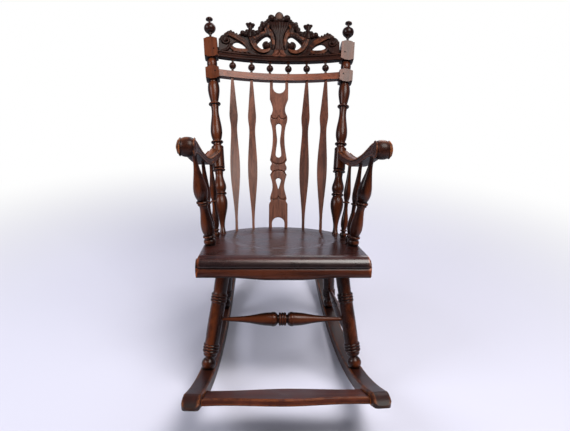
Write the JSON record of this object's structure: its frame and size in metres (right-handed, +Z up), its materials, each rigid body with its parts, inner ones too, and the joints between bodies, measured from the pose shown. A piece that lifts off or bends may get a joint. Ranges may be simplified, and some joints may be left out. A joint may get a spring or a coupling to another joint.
{
  "type": "rocking chair",
  "caption": "High-backed wooden rocking chair with a pierced carved crest, shaped slats, turned posts and spindles, rolled arms, a plank seat and a foot board between the rockers.",
  "frame": {"origin": "on the floor, under the middle of the chair's bounding box", "axes": "+X towards the sitter's left, +Y towards the back, +Z up; the sitter faces -Y"},
  "size_m": [0.6206, 1.1552, 1.1277],
  "materials": {
    "rocker_wood": "semi_gloss",
    "arm_wood": "semi_gloss",
    "seat_wood": "semi_gloss",
    "slat_wood": "semi_gloss",
    "carved_wood": "semi_gloss",
    "pin_wood": "semi_gloss",
    "turned_wood": "semi_gloss"
  },
  "bodies": {
    "root": {"arm_button_left": "turned_wood", "arm_button_right": "turned_wood", "arm_left": "arm_wood", "arm_right": "arm_wood", "back_post_left": "turned_wood", "back_post_right": "turned_wood", "back_splat": "slat_wood", "ball_spindle_1_left": "turned_wood", "ball_spindle_1_right": "turned_wood", "ball_spindle_2_left": "turned_wood", "ball_spindle_2_right": "turned_wood", "ball_spindle_3_left": "turned_wood", "ball_spindle_3_right": "turned_wood", "crest_rail": "carved_wood", "finial_left": "turned_wood", "finial_right": "turned_wood", "foot_board": "rocker_wood", "front_arm_spindle_left": "turned_wood", "front_arm_spindle_right": "turned_wood", "front_leg_left": "turned_wood", "front_leg_right": "turned_wood", "front_stretcher": "turned_wood", "front_under_board": "seat_wood", "inner_slat_left": "slat_wood", "inner_slat_right": "slat_wood", "joint_pins": "pin_wood", "lower_back_rail": "slat_wood", "middle_arm_spindle_left": "turned_wood", "middle_arm_spindle_right": "turned_wood", "outer_slat_left": "slat_wood", "outer_slat_right": "slat_wood", "rear_arm_spindle_left": "turned_wood", "rear_arm_spindle_right": "turned_wood", "rear_leg_left": "turned_wood", "rear_leg_right": "turned_wood", "rear_stretcher": "turned_wood", "rocker_left": "rocker_wood", "rocker_right": "rocker_wood", "seat": "seat_wood", "seat_rosette_left": "turned_wood", "seat_rosette_right": "turned_wood", "side_stretcher_left": "turned_wood", "side_stretcher_right": "turned_wood"}
  },
  "joints": []
}
